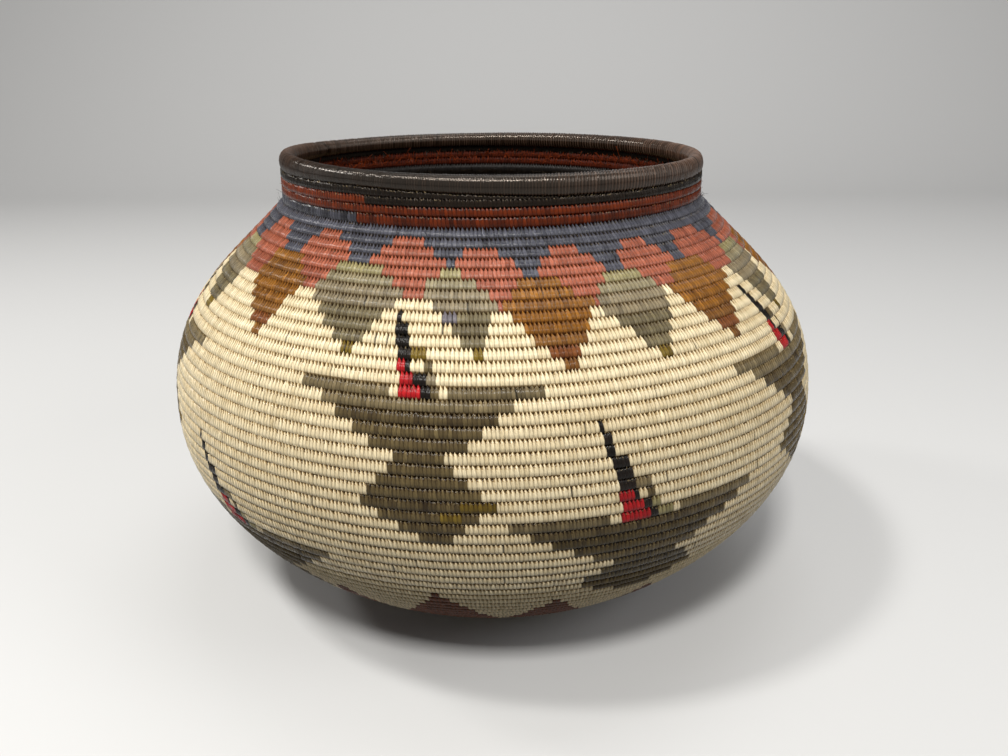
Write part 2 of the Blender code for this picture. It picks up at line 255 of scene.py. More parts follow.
# Rim roll, which rests on the rising last round and stands higher where its ends overlap
RIM_MIDDLE_RADIUS = 0.0688
RIM_HALF_WIDTH = 0.0025
RIM_RISE = 0.0043
RIM_SINK = 0.0006
RIM_LAP_RISE = 0.0014
RIM_LAP_ANGLE = math.radians(-75.0)
RIM_LAP_REACH = math.radians(60.0)
RIM_MOUTH = math.radians(32.0)
RIM_WRAP_WIDTH = 0.0009
RIM_WRAP_THICKNESS = 0.0005
RIM_WRAP_LEAN = 0.0016
RIM_WRAP_SPREAD = 0.05
RIM_OUTER_STEPS = 14
RIM_INNER_STEPS = 6
RIM_GROOVE = 0.00024
RIM_SWELL_SPREAD = 0.018
RIM_WAVES = ((0.010, 3, 1.0), (0.008, 7, 0.0))
RIM_CREASE_ANGLE = math.radians(-110.0)
RIM_CREASE_LEAN = 0.08
RIM_CREASE_WIDTH = 0.015
RIM_CREASE_DEPTH = 0.12
RIM_WEAVE = 0.8
RIM_HOLLOW_SHADE = 12.0

# Wear of the rim, most at the right, and painted light that makes its wraps paler at the sides and
# the back
RIM_WORN_ANGLE = math.radians(80.0)
RIM_WORN_WIDTH = 0.9
RIM_WORN_GROOVE = 0.05
RIM_WORN_FROM = 0.2
RIM_WORN_POWER = 1.5
RIM_PAINTED_LIGHT = 0.65
RIM_PAINTED_LIGHT_BACK = 0.45
RIM_PAINTED_LIGHT_REACH = 0.8
RIM_DYE_SHARE = 0.45
RIM_DYE_SPREAD = 0.22

# The start knot
KNOT_RADIUS = 0.0034
KNOT_FLATNESS = 0.5
KNOT_HEIGHT = 0.0014
KNOT_WINDS = 5
KNOT_TWIST = 6.0
KNOT_GROOVE = 0.05
KNOT_SHADE = 0.4
KNOT_WEAVE = 2.0

# Dyes, as the light and the dark tone of each, in screen colours
DYES = {
    "cream": ((242, 226, 189), (217, 198, 158)),
    "coral": ((175, 99, 74), (128, 66, 46)),
    "rust": ((124, 48, 13), (70, 24, 4)),
    "blue": ((84, 85, 96), (42, 42, 50)),
    "olive": ((158, 148, 106), (112, 104, 68)),
    "sage": ((156, 145, 114), (114, 104, 78)),
    "grey": ((150, 136, 108), (108, 97, 76)),
    "moss": ((128, 117, 88), (88, 78, 57)),
    "slate": ((118, 112, 118), (84, 80, 86)),
    "ochre": ((156, 103, 36), (96, 58, 13)),
    "bronze": ((140, 96, 44), (98, 60, 24)),
    "bark": ((132, 117, 86), (86, 75, 52)),
    "umber": ((110, 95, 63), (66, 54, 34)),
    "gold": ((128, 106, 40), (90, 72, 22)),
    "black": ((30, 22, 16), (9, 6, 4)),
    "wound": ((48, 38, 31), (13, 9, 6)),
    "wear_and_painted_light": ((132, 108, 97), (80, 64, 56)),
    "red": ((186, 32, 36), (140, 18, 24)),
    "earth": ((104, 56, 28), (66, 33, 14)),
    "chestnut": ((134, 80, 40), (98, 54, 25)),
    "peat": ((92, 78, 46), (54, 43, 22)),
}
DYE_NAMES = list(DYES)

# How the dye took: its mean share of the dark tone, waves along the coil by size, length in turns
# and seed, the spread from stitch to stitch, and the limits
DARK_SHARE = 0.42
DARK_WAVES = ((0.12, 0.13, 5), (0.16, 0.9, 6))
DARK_SPREAD = 0.19
DARK_LIMITS = (-0.25, 1.3)

# The chart. Rows count down from the rim along the front, and places are degrees to the right.
# Bands that go all the way round are given by turns of the coil instead.
BANDS = (
    ("black", -0.9925, 2.0), ("rust", -3.0, -0.9925), ("blue", -7.35, -3.0),
    ("coral", -10.35, -7.35),
)

SCALLOPS = (
    (5, ((-62.9, -55.0), (-64.3, -52.9), (-67.0, -50.4))),
    (5, ((-42.0, -35.0), (-43.6, -31.8), (-44.8, -30.2))),
    (5, ((-21.8, -14.7), (-23.6, -11.7), (-25.2, -9.3))),
    (6, ((-5.6, 1.1), (-7.2, 3.8))),
    (6, ((11.3, 17.5), (9.2, 20.5))),
    (6, ((28.4, 34.5), (26.4, 37.3))),
    (6, ((43.6, 53.9), (43.0, 57.5))),
    (6, ((65.5, 80.0), (62.5, 82.0), (61.0, 84.0))),
)
BACK_SCALLOPS = (6, 91.5, 277.6, 18.6)
BACK_SCALLOP_HALVES = (3.4, 5.6, 7.0)
CORAL_WEDGES = ((11, 0.4, 2.8), (11, 17.0, 19.0))
BLUE_GAPS = ((8, 5.7, 8.9), (8, 22.1, 26.1), (8, 39.3, 42.9), (8, 59.5, 61.0))

LEAVES = (
    ("grey", 8, ((-73.6, -64.5), (-77.0, -61.5), (-78.0, -60.0), (-76.0, -60.0), (-74.0, -60.5),
                 (-71.0, -61.0), (-68.7, -61.5), (-65.9, -62.7))),
    ("ochre", 8, ((-52.5, -42.1), (-52.5, -40.0), (-53.6, -38.2), (-52.5, -38.6), (-50.0, -39.6),
                  (-48.0, -40.2), (-46.2, -40.7), (-44.1, -42.0))),
    ("grey", 8, ((-32.3, -21.3), (-33.4, -18.8), (-34.3, -16.4), (-33.4, -17.4), (-30.9, -18.9),
                 (-29.1, -20.3), (-26.7, -20.8), (-24.3, -22.4))),
    ("grey", 8, ((-10.2, -6.1), (-12.1, -3.4), (-12.5, -1.0), (-10.4, 0.9), (-8.5, -0.2),
                 (-6.7, -0.7), (-5.2, -1.0), (-3.1, -1.6))),
    ("ochre", 9, ((4.0, 12.1), (3.0, 14.5), (1.9, 17.4), (3.3, 16.4), (4.8, 15.8),
                  (6.6, 14.5), (8.4, 13.4), (10.3, 12.4))),
    ("grey", 9, ((20.9, 28.8), (19.4, 30.9), (18.6, 32.3), (19.0, 32.1), (21.0, 31.3),
                 (22.9, 30.2), (24.5, 29.1), (26.3, 28.6))),
    ("ochre", 9, ((36.9, 47.3), (35.6, 49.1), (34.3, 51.8), (35.2, 49.8), (36.9, 48.2),
                  (38.6, 46.9), (40.8, 46.1), (42.7, 44.7))),
    ("grey", 9, ((58.5, 69.0), (57.2, 70.2), (54.8, 71.0), (55.7, 68.5), (57.5, 67.7),
                 (59.0, 66.7), (60.8, 65.7), (62.3, 64.6))),
)
LEAF_TONES = {
    "grey": ("olive", "sage", "grey", "grey", "moss", "moss", "moss", "gold"),
    "ochre": ("ochre", "ochre", "ochre", "ochre", "ochre", "bronze", "chestnut", "bronze"),
}
SLATE_PATCH = (12, -8.5, -6.0)
BACK_LEAVES = (9, 79.5, 274.1, 19.45)
BACK_LEAF_HALVES = (4.8, 6.2, 7.2, 7.0, 5.6, 4.2, 2.7, 1.0)
BACK_LEAF_LEAN = (-1.5, 0.6)

# The upper bird nearest the front: wings, waist and tail, from the row of the wing tips down
UPPER_BIRD_ROW = 18
UPPER_BIRD = (
    (-29.2, 6.9), (-25.0, 2.7), (-22.3, 0.7), (-19.8, -1.6), (-17.1, -3.8), (-13.6, -6.9),
    (-14.2, -5.5), (-15.8, -3.7), (-17.3, -1.7), (-18.4, 0.3), (-15.8, -1.8), (-13.2, -3.9),
    (-10.6, -5.6),
)
UPPER_HEAD = (
    (-6, (("black", -16.3, -15.2),)),
    (-5, (("black", -15.7, -14.0),)),
    (-4, (("black", -15.2, -13.3),)),
    (-3, (("black", -14.6, -12.4), ("umber", -12.4, -10.1))),
    (-2, (("red", -14.3, -12.9), ("black", -12.9, -12.0), ("umber", -10.4, -9.3))),
    (-1, (("red", -13.9, -11.5), ("black", -11.5, -9.8), ("grey", -9.8, -8.3))),
    (0, (("cream", -14.9, -6.6), ("red", -13.5, -10.0), ("black", -10.0, -8.9),
         ("umber", -8.9, -7.9))),
)
UPPER_BIRD_DYES = ("bark",) * 2 + ("umber",) * 11
UPPER_BIRD_GOLD = ((9, -4.5, 0.3), (10, -7.3, -4.5))
GOLD_BY_THE_HEAD = (15, -12.4, -10.1)

# The lower bird nearest the front
LOWER_BIRD_ROW = 29
LOWER_BIRD = (
    (2.0, 40.8), (4.6, 38.6), (8.0, 36.1), (10.9, 33.4), (13.9, 31.1), (17.3, 28.3), (15.7, 30.6),
    (14.0, 32.3), (13.4, 34.0), (15.7, 30.9), (19.9, 27.4),
)
LOWER_HEAD = (
    (-8, (("black", 14.3, 15.2),)),
    (-7, (("black", 14.8, 15.9),)),
    (-6, (("black", 15.4, 16.8),)),
    (-5, (("black", 16.1, 18.2),)),
    (-4, (("black", 16.8, 18.9),)),
    (-3, (("black", 17.1, 19.4), ("bark", 19.4, 21.5))),
    (-2, (("red", 17.3, 19.4), ("black", 19.4, 20.2), ("umber", 21.5, 22.4))),
    (-1, (("red", 17.5, 20.6), ("black", 20.6, 22.2), ("olive", 22.2, 23.6))),
    (0, (("cream", 15.9, 27.1), ("red", 17.8, 22.0), ("black", 22.0, 23.0),
         ("olive", 23.0, 25.4))),
)
LOWER_BIRD_DYES = ("bark", "umber", "peat", "peat", "umber", "peat", "peat",
                   "peat", "umber", "peat", "peat")

# Where else the two birds come: degrees to the right of the front ones, and rows down from them
UPPER_PLACES = ((0.0, 0), (68.8, 1), (-64.0, 0), (144.0, 1), (220.0, 1))
LOWER_PLACES = ((0.0, 0), (-66.5, 5), (75.0, 2), (150.0, 5), (226.0, 2))

# The star under the basket: its points, by place and the row of the tip, and its closed rounds
STAR_POINTS = 18
STAR_TIP_ROWS = (37.8, 39.6, 41.4)
STAR_TIP = 0.4
STAR_FIRST = -9.5
STAR_GROWTH = 1.15
STAR_FOOT_ROW = 51
STAR_BANDS = (("earth", -53.0, -49.0), ("earth", -80.0, -61.0))


def screen(red, green, blue):
    """A screen colour of 0 to 255 as the shader's own colour."""
    values = np.array((red, green, blue)) / 255.0
    return tuple(np.where(values <= 0.04045, values / 12.92, ((values + 0.055) / 1.055) ** 2.4))


def round_the_axis(radius, angle, height):
    """Points by their distance from the basket's axis, angle from the front and height."""
    return np.stack((radius * np.sin(angle), -radius * np.cos(angle), height), axis=1)


def angle_from(angle, middle):
    """Angle from a middle one, between half a turn back and half a turn on."""
    return np.mod(angle - middle + math.pi, math.tau) - math.pi


def smooth_noise(turns, length, seed):
    """A value that wanders between about -1 and 1 and changes over a length in turns."""
    phases = np.random.default_rng(seed).uniform(0.0, math.tau, WAVES)
    total = np.zeros_like(turns)
    for i, phase in enumerate(phases):
        total += np.sin(math.tau * turns / (length * (1.0 + WAVE_GROWTH * i)) + phase)
    return total / WAVE_SUM


def bezier(start, start_handle, end_handle, end):
    """Points of a curve from start to end, drawn out by a handle at each."""
    t = np.linspace(0.0, 1.0, CURVE_POINTS)[:, None]
    corners = np.array((start, start_handle, end_handle, end))
    return ((1 - t) ** 3 * corners[0] + 3 * t * (1 - t) ** 2 * corners[1]
            + 3 * t * t * (1 - t) * corners[2] + t ** 3 * corners[3])


class Wall:
    """The basket's outer face, by turns of the coil."""

    def __init__(self):
        base = (BASE_RADIUS, -GROUND_SINK)
        belly = (BELLY_RADIUS, BELLY_HEIGHT)
        neck = (NECK_RADIUS, NECK_FOOT_HEIGHT)
        lower = bezier(
            base,
            (base[0] + HEEL_REACH * math.cos(HEEL_ANGLE),
             base[1] + HEEL_REACH * math.sin(HEEL_ANGLE)),
            (belly[0], belly[1] - LOWER_BELLY_REACH),
            belly,
        )
        upper = bezier(
            belly,
            (belly[0], belly[1] + UPPER_BELLY_REACH),
            (neck[0] + SHOULDER_REACH * math.cos(SHOULDER_ANGLE),
             neck[1] - SHOULDER_REACH * math.sin(SHOULDER_ANGLE)),
            neck,
        )
        middle = np.array([(FIRST_ROUND_RADIUS - PITCH_BASE, -GROUND_SINK)])
        top = np.array([(NECK_RADIUS, NECK_TOP + ROUNDS_TO_SPARE * PITCH_NECK)])
        outline = np.vstack((middle, lower, upper[1:], top))
        lengths = np.concatenate(([0.0], np.cumsum(np.hypot(*np.diff(outline, axis=0).T))))
        base_length = lengths[1]
        belly_length = lengths[len(lower)]
        neck_length = lengths[-2]
        stations = (
            (0.0, PITCH_BASE),
            (base_length, PITCH_HEEL),
            (belly_length, PITCH_BELLY),
            (belly_length + (neck_length - belly_length) * SHOULDER_STATION, PITCH_SHOULDER),
            (neck_length, PITCH_NECK_FOOT),
            (neck_length + PITCH_NECK_FOOT, PITCH_NECK),
            (lengths[-1], PITCH_NECK),
        )
        places = np.arange(0.0, lengths[-1], WALL_STEP)
        self.radii = np.interp(places, lengths, outline[:, 0])
        self.heights = np.interp(places, lengths, outline[:, 1])
        self.pitches = np.interp(places, *zip(*stations))
        before = places - self.pitches / 2
        after = places + self.pitches / 2
        run = np.interp(after, places, self.radii) - np.interp(before, places, self.radii)
        rise = np.interp(after, places, self.heights) - np.interp(before, places, self.heights)
        self.slopes = np.arctan2(rise, run)
        steps = np.diff(places) / ((self.pitches[1:] + self.pitches[:-1]) / 2)
        turns = np.concatenate(([0.0], np.cumsum(steps)))
        last_round = np.interp(NECK_TOP - PITCH_NECK / 2, self.heights, turns)
        self.turns = turns - last_round + ROW_DROP
        near = slice(STEPS_AT_THE_MIDDLE)
        self.first_full = np.interp(FIRST_ROUND_RADIUS, self.radii[near], self.turns[near])

    def at(self, turns):
        """Radius, height, slope and pitch of the wall at turns of the coil."""
        return tuple(np.interp(turns, self.turns, values)
                     for values in (self.radii, self.heights, self.slopes, self.pitches))


class Chart:
    """Which dye each stitch has, painted in spans along the coil."""

    def __init__(self):
        self.spans = []
        for band in BANDS:
            self.turns(*band)
        for row, steps in SCALLOPS:
            self.steps("coral", row, steps)
        self.back_scallops()
        for row, left, right in CORAL_WEDGES:
            self.span("coral", row, left, right)
        for row, left, right in BLUE_GAPS:
            self.span("blue", row, left, right)
        for dye, row, steps in LEAVES:
            self.leaf(dye, row, steps)
        self.span("slate", *SLATE_PATCH)
        self.back_leaves()
        for shift, down in LOWER_PLACES:
            self.bird(LOWER_BIRD_ROW + down, LOWER_BIRD, LOWER_BIRD_DYES, LOWER_HEAD, shift)
        for shift, down in UPPER_PLACES:
            self.bird(UPPER_BIRD_ROW + down, UPPER_BIRD, UPPER_BIRD_DYES, UPPER_HEAD, shift)
            for step, left, right in UPPER_BIRD_GOLD:
                self.span("gold", UPPER_BIRD_ROW + down + step, left + shift, right + shift)
        self.span("gold", *GOLD_BY_THE_HEAD)
        self.star()

    def turns(self, dye, first, last):
        self.spans.append((DYE_NAMES.index(dye), first, last))

    def span(self, dye, row, left, right):
        first = -row + (left - END_DEGREES) / 360.0
        self.turns(dye, first, first + (right - left) / 360.0)

    def steps(self, dye, row, steps):
        for i, (left, right) in enumerate(steps):
            self.span(dye, row + i, left, right)

    def back_scallops(self):
        top, first, last, step = BACK_SCALLOPS
        for centre in np.arange(first, last, step):
            steps = [(centre - half, centre + half) for half in BACK_SCALLOP_HALVES]
            self.steps("coral", top, steps)

    def leaf(self, dye, row, steps):
        for i, (left, right) in enumerate(steps):
            self.span(LEAF_TONES[dye][i], row + i, left, right)

    def back_leaves(self):
        top, first, last, step = BACK_LEAVES
        start, lean = BACK_LEAF_LEAN
        for i, centre in enumerate(np.arange(first, last, step)):
            steps = []
            for j, half in enumerate(BACK_LEAF_HALVES):
                middle = centre + start + lean * j
                steps.append((middle - half, middle + half))
            self.leaf(("ochre", "grey")[i % 2], top, steps)

    def bird(self, row, rows, dyes, head, shift):
        for i, (left, right) in enumerate(rows):
            self.span(dyes[i], row + i, left + shift, right + shift)
        for step, cells in head:
            for dye, left, right in cells:
                self.span(dye, row + step, left + shift, right + shift)

    def star(self):
        for i in range(STAR_POINTS):
            centre = STAR_FIRST + 360.0 * i / STAR_POINTS
            tip = STAR_TIP_ROWS[min(i, 2)]
            for row in range(math.ceil(tip), STAR_FOOT_ROW):
                half = min(STAR_GROWTH * (row - tip + STAR_TIP), 180.0 / STAR_POINTS)
                self.span("earth", row, centre - half, centre + half)
        for band in STAR_BANDS:
            self.turns(*band)

    def paint(self, turns):
        """Colour of each stitch, from its dye and how the dye took."""
        dyes = np.zeros(len(turns), dtype=int)
        for dye, first, last in self.spans:
            dyes[(turns >= first) & (turns < last)] = dye
        light = np.array([screen(*DYES[name][0]) for name in DYE_NAMES])
        dark = np.array([screen(*DYES[name][1]) for name in DYE_NAMES])
        share = np.full(len(turns), DARK_SHARE)
        for size, length, seed in DARK_WAVES:
            share += size * smooth_noise(turns, length, seed)
        share += random.normal(0.0, DARK_SPREAD, len(turns))
        share = np.clip(share, *DARK_LIMITS)[:, None]
        return np.clip(light[dyes] * (1 - share) + dark[dyes] * share, 0.0, 1.0)


def deselect():
    if bpy.context.mode != "OBJECT":
        bpy.ops.object.mode_set(mode="OBJECT")
    bpy.ops.object.select_all(action="DESELECT")


def extrude(step):
    bpy.ops.object.mode_set(mode="EDIT")
    bpy.ops.mesh.extrude_region_move(TRANSFORM_OT_translate={"value": step})
    bpy.ops.object.mode_set(mode="OBJECT")


def repeat_in_row(piece, count, spacing, merged):
    """Copies of a piece side by side along x, joined where they meet if merged."""
    row = piece.modifiers.new("row", "ARRAY")
    row.use_relative_offset = False
    row.use_constant_offset = True
    row.constant_offset_displace = (spacing, 0.0, 0.0)
    row.count = count
    row.use_merge_vertices = merged
    row.merge_threshold = 0.0001
    bpy.ops.object.modifier_apply(modifier="row")


def face_outwards():
    bpy.ops.object.mode_set(mode="EDIT")
    bpy.ops.mesh.select_all(action="SELECT")
    bpy.ops.mesh.normals_make_consistent(inside=False)
    bpy.ops.object.mode_set(mode="OBJECT")


def stitch_strip(name, ridge, groove, count):
    """A straight strip of stitches: x counts stitches, y goes up the wall and z outwards."""
    deselect()
    bpy.ops.mesh.primitive_circle_add(vertices=len(ridge), fill_type="NOTHING")
    strip = bpy.context.object
    strip.name = name
    strip.data.name = name
    for vertex, (up, out) in zip(strip.data.vertices, groove):
        vertex.co = (0.0, up, out)
    for profile in (ridge, groove):
        extrude((0.5, 0.0, 0.0))
        moved = [vertex for vertex in strip.data.vertices if vertex.select]
        for vertex, (up, out) in zip(moved, profile):
            vertex.co.y = up
            vertex.co.z = out
    repeat_in_row(strip, count, 1.0, merged=True)
    bpy.ops.object.mode_set(mode="EDIT")
    bpy.ops.mesh.select_all(action="SELECT")
    bpy.ops.mesh.fill_holes(sides=0)
    face_outwards()
    return strip


def corners_of(mesh):
    values = np.empty(len(mesh.vertices) * 3)
    mesh.vertices.foreach_get("co", values)
    return values.reshape(-1, 3)


def face_means(mesh, values):
    """Mean of a value over the corners of each face."""
    starts = np.empty(len(mesh.polygons), dtype=int)
    mesh.polygons.foreach_get("loop_start", starts)
    loops = np.empty(len(mesh.loops), dtype=int)
    mesh.loops.foreach_get("vertex_index", loops)
    totals = np.add.reduceat(values[loops], starts)
    counts = np.diff(np.append(starts, len(loops)))
    return totals / counts


def set_attribute(mesh, name, kind, domain, values, field):
    layer = mesh.attributes.new(name, kind, domain)
    layer.data.foreach_set(field, np.ascontiguousarray(values, dtype=np.float32).ravel())


def set_strand_values(mesh, weave, hollow_shade, colours, pieces):
    """The values that the strand finishes read: weave and painted hollow shade by corner, and the
    dye by face.
    """
    painted = np.concatenate((colours, np.ones((len(colours), 1))), axis=1)
    set_attribute(mesh, "weave", "FLOAT_VECTOR", "POINT", weave, "vector")
    set_attribute(mesh, "hollow_shade", "FLOAT", "POINT", hollow_shade, "value")
    set_attribute(mesh, "dye", "FLOAT_COLOR", "FACE", painted[pieces], "color")


def finish_strip(mesh, weave, hollow_shade, colours, finish):
    """Dye and painted shade of a strip's stitches, shaded smooth with its two ends left flat."""
    stitches = np.floor(face_means(mesh, weave[:, 0])).astype(int)
    set_strand_values(mesh, weave, hollow_shade, colours, np.clip(stitches, 0, len(colours) - 1))
    mesh.shade_smooth()
    for face in mesh.polygons:
        if face.loop_total > 4:
            face.use_smooth = False
    mesh.update()
    mesh.materials.append(finish)


def uneven_stitches(count):
    """Place, tip, swell, lean and slit of each column of a strip, as hand work varies."""
    columns = 2 * count + 1
    spots = np.arange(columns) / 2
    wander = WANDER * smooth_noise(spots, WANDER_LENGTH, int(random.integers(10000)))
    spots[1:-1] += wander[1:-1] + random.normal(0.0, PLACE_SPREAD, columns - 2)
    tips = random.normal(0.0, TIP_SPREAD, columns)
    swell = random.normal(0.0, SWELL_SPREAD, columns)
    leans = STITCH_LEAN + random.normal(0.0, LEAN_SPREAD, columns)
    slits = np.zeros(columns)
    cut = 2 * (1 + np.flatnonzero(random.random(count - 1) < SLIT_SHARE))
    slits[cut] = random.uniform(*SLIT_SIZES, len(cut))
    return spots, tips, swell - SLIT_DEPTH * slits, leans, slits


def thinned_ends(wall, turns):
    """Share of its full thickness that the coil has, and the turn of the wall that it follows."""
    share = np.ones_like(turns)
    place = turns.copy()
    ending = turns > 0.0
    share[ending] = 1.0 - (1.0 - END_THICKNESS) * turns[ending] / END_TURN
    place[ending] = turns[ending] - 0.5 + share[ending] / 2
    starting = turns < wall.first_full
    share[starting] = 1.0 - (wall.first_full - turns[starting])
    place[starting] = (turns[starting] + wall.first_full) / 2
    return share, place


def sewn_coil(wall, chart, name, node, first, last, finish):
    """A stretch of the coil as a strip of stitches, bent along the wall."""
    grid = np.linspace(first, last, RUN_POINTS)
    radii = wall.at(grid)[0]
    steps = np.diff(grid) * math.tau * (radii[1:] + radii[:-1]) / 2
    run = np.concatenate(([0.0], np.cumsum(steps)))
    count = round(run[-1] / STITCH_WIDTH)
    strip = stitch_strip(name, RIDGE, GROOVE, count)
    mesh = strip.data
    corners = corners_of(mesh)
    column = np.rint(corners[:, 0] * 2).astype(int)
    up, out = corners[:, 1].copy(), corners[:, 2].copy()
    # Painted shade, which deepens down between the rounds and fades out by the inner face
    outer_shade = -SHADE_GROWTH * (out + SHADE_FROM)
    inner_shade = THICKNESS + SHADE_TO + out
    hollow_shade = np.clip(np.minimum(outer_shade, inner_shade), 0.0, 1.0)
    weave = np.stack((corners[:, 0], up, out), axis=1)

    spots, tips, swell, leans, slits = uneven_stitches(count)
    column_turns = np.interp(spots / count * run[-1], run, grid)
    turns = column_turns[column]
    is_tip = up > TIP_FROM
    up[is_tip] += tips[column[is_tip]]
    outside = out > OUTSIDE_FROM
    out[outside] += swell[column[outside]]
    # Painted shade on the inner side of the rounds below the neck
    dark_first, dark_last = DARK_INNER_TURNS
    in_the_dark = (out < DARK_INNER_FROM) & (turns > dark_first) & (turns < dark_last)
    hollow_shade[in_the_dark] = np.maximum(hollow_shade[in_the_dark], DARK_INNER_PAINTED_SHADE)

    share, place = thinned_ends(wall, turns)
    radius_here, _, _, pitch_here = wall.at(place)
    leaning = leans[column] * up * STITCH_WIDTH / (math.tau * radius_here)
    leaning[(column == 0) | (column == 2 * count)] = 0.0
    radius, height, slope, _ = wall.at(place + up * share)
    depth = out * MILLIMETRE * share * pitch_here / PITCH_BELLY
    radius = radius + depth * np.sin(slope)
    height = np.maximum(height - depth * np.cos(slope), 0.0)
    bent = round_the_axis(radius, END_ANGLE + math.tau * (turns - leaning), height)
    mesh.vertices.foreach_set("co", bent.ravel())
    finish_strip(mesh, weave, hollow_shade, chart.paint(column_turns[1::2]), finish)
    set_attribute(mesh, "slit", "FLOAT", "POINT", slits[column], "value")
    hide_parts(node)
    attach(strip, "root")


def rim_profiles():
    """Ridge and groove of the rim's wrapping, round it, in shares of the roll's half size."""
    open_from = math.pi - RIM_MOUTH
    outside = np.linspace(-open_from, open_from, RIM_OUTER_STEPS + 1)
    inside = np.linspace(open_from, -open_from, RIM_INNER_STEPS + 1)
    inner_size = 1.0 - RIM_WRAP_THICKNESS / RIM_HALF_WIDTH
    profiles = []
    for outer_size in (1.0, 1.0 - RIM_GROOVE / RIM_HALF_WIDTH):
        profiles.append([(size * math.cos(angle), size * math.sin(angle))
                         for size, angles in ((outer_size, outside), (inner_size, inside))
                         for angle in angles])
    return profiles


def rim_section(angles):
    """Middle height and half height of the roll at places along the rim."""
    turn = (angles - END_ANGLE) / math.tau % 1.0
    foot = NECK_TOP + (turn - 1.0) * PITCH_NECK
    lying_end = np.clip(1.0 - turn / END_TURN, 0.0, 1.0)
    foot = foot + lying_end * PITCH_NECK - RIM_SINK
    away = np.abs(angle_from(angles, RIM_LAP_ANGLE)) / RIM_LAP_REACH
    lap = np.cos(np.minimum(away, 1.0) * math.pi / 2) ** 2
    top = NECK_TOP + RIM_RISE + RIM_LAP_RISE * lap
    lip_share = math.cos(RIM_MOUTH)
    half = (top - foot) / (1.0 + lip_share)
    return foot + half * lip_share, half


def rim_wear(angles):
    """How worn the wrapping is at places along the rim, from 0 to 1."""
    near = (np.cos(angles - RIM_WORN_ANGLE) - RIM_WORN_FROM) / (1.0 - RIM_WORN_FROM)
    return np.clip(near, 0.0, 1.0) ** RIM_WORN_POWER


def rim_dyes(angles):
    """Colour of each wrap of the rim, from fresh to worn, and paler at the sides and the back as
    painted light.
    """
    fresh_light, fresh_dark, worn_and_lit_light, worn_and_lit_dark = (
        np.array(screen(*tone)) for tone in DYES["wound"] + DYES["wear_and_painted_light"])
    dark = np.clip(random.normal(RIM_DYE_SHARE, RIM_DYE_SPREAD, len(angles)), 0.0, 1.0)[:, None]
    # Painted light: the wraps turn towards the worn tone most at the sides and less at the back
    facing = np.cos(angles)
    unlit_share = np.maximum(facing, -RIM_PAINTED_LIGHT_BACK * facing) / RIM_PAINTED_LIGHT_REACH
    painted_light = RIM_PAINTED_LIGHT * np.clip(1.0 - unlit_share, 0.0, 1.0)
    wear_and_painted_light = np.maximum(rim_wear(angles), painted_light)[:, None]
    fresh_dye = fresh_light * (1 - dark) + fresh_dark * dark
    worn_and_lit_dye = worn_and_lit_light * (1 - dark) + worn_and_lit_dark * dark
    return fresh_dye * (1 - wear_and_painted_light) + worn_and_lit_dye * wear_and_painted_light


def close_ring(strip):
    """Weld the two ends of a strip that goes all the way round."""
    mesh = strip.data
    mesh.attributes.active = mesh.attributes["weave"]
    bpy.ops.geometry.attribute_convert(domain="CORNER", data_type="FLOAT_VECTOR")
    bpy.ops.object.mode_set(mode="EDIT")
    bpy.ops.mesh.select_mode(type="FACE")
    bpy.ops.mesh.select_all(action="DESELECT")
    bpy.ops.object.mode_set(mode="OBJECT")
    for face in mesh.polygons:
        face.select = face.loop_total > 4
    bpy.ops.object.mode_set(mode="EDIT")
    bpy.ops.mesh.delete(type="ONLY_FACE")
    bpy.ops.mesh.select_all(action="SELECT")
    bpy.ops.mesh.remove_doubles(threshold=0.000002)
    bpy.ops.object.mode_set(mode="OBJECT")


def rim_roll(finish):
    """The rim's wrapping, closely wound, with a little swell and lean of its own."""
    count = round(math.tau * RIM_MIDDLE_RADIUS / RIM_WRAP_WIDTH)
    strip = stitch_strip("rim_wrapping", *rim_profiles(), count)
    mesh = strip.data
    corners = corners_of(mesh)
    column = np.rint(corners[:, 0] * 2).astype(int)
    up, out = corners[:, 1], corners[:, 2]
    size = np.hypot(up, out)
    weave = np.stack((corners[:, 0], np.arctan2(out, up) * RIM_WEAVE, size), axis=1)

    spots = np.arange(2 * count + 1) / 2
    spots[1:-1] += random.normal(0.0, RIM_WRAP_SPREAD, 2 * count - 1)
    swell = 1.0 - np.abs(random.normal(0.0, RIM_SWELL_SPREAD, 2 * count + 1))
    swell[-1] = swell[0]
    for height, number, start in RIM_WAVES:
        swell += height * (np.sin(math.tau * number * spots / count + start) - 1.0)
    even_places = END_ANGLE + math.tau * (np.arange(count) + 0.5) / count
    widths = 1.0 + RIM_WORN_WIDTH * rim_wear(even_places)
    ends = np.concatenate(([0.0], np.cumsum(widths))) / widths.sum()
    middles = END_ANGLE + math.tau * (ends[1:] + ends[:-1]) / 2
    swell[2:-1:2] -= RIM_WORN_GROOVE * rim_wear(middles[1:])

    turn = np.interp(spots, np.arange(count + 1), ends)
    angle = END_ANGLE + math.tau * (turn[column] - RIM_WRAP_LEAN * out)
    middle, half = rim_section(angle)
    from_crease = angle_from(angle - RIM_CREASE_LEAN * out, RIM_CREASE_ANGLE)
    crease = np.exp(-(from_crease / RIM_CREASE_WIDTH) ** 2)
    factor = swell[column] * (1.0 - RIM_CREASE_DEPTH * crease)
    radius = RIM_MIDDLE_RADIUS + out * RIM_HALF_WIDTH * factor
    bent = round_the_axis(radius, angle, middle + up * half * factor)
    mesh.vertices.foreach_set("co", bent.ravel())
    # Painted shade in the grooves between the wraps and in the crease
    hollow_shade = np.maximum(np.clip((1.0 - size) * RIM_HOLLOW_SHADE, 0.0, 1.0), crease)
    finish_strip(mesh, weave, hollow_shade, rim_dyes(middles), finish)
    close_ring(strip)
    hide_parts("rim_wrap")
    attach(strip, "root")


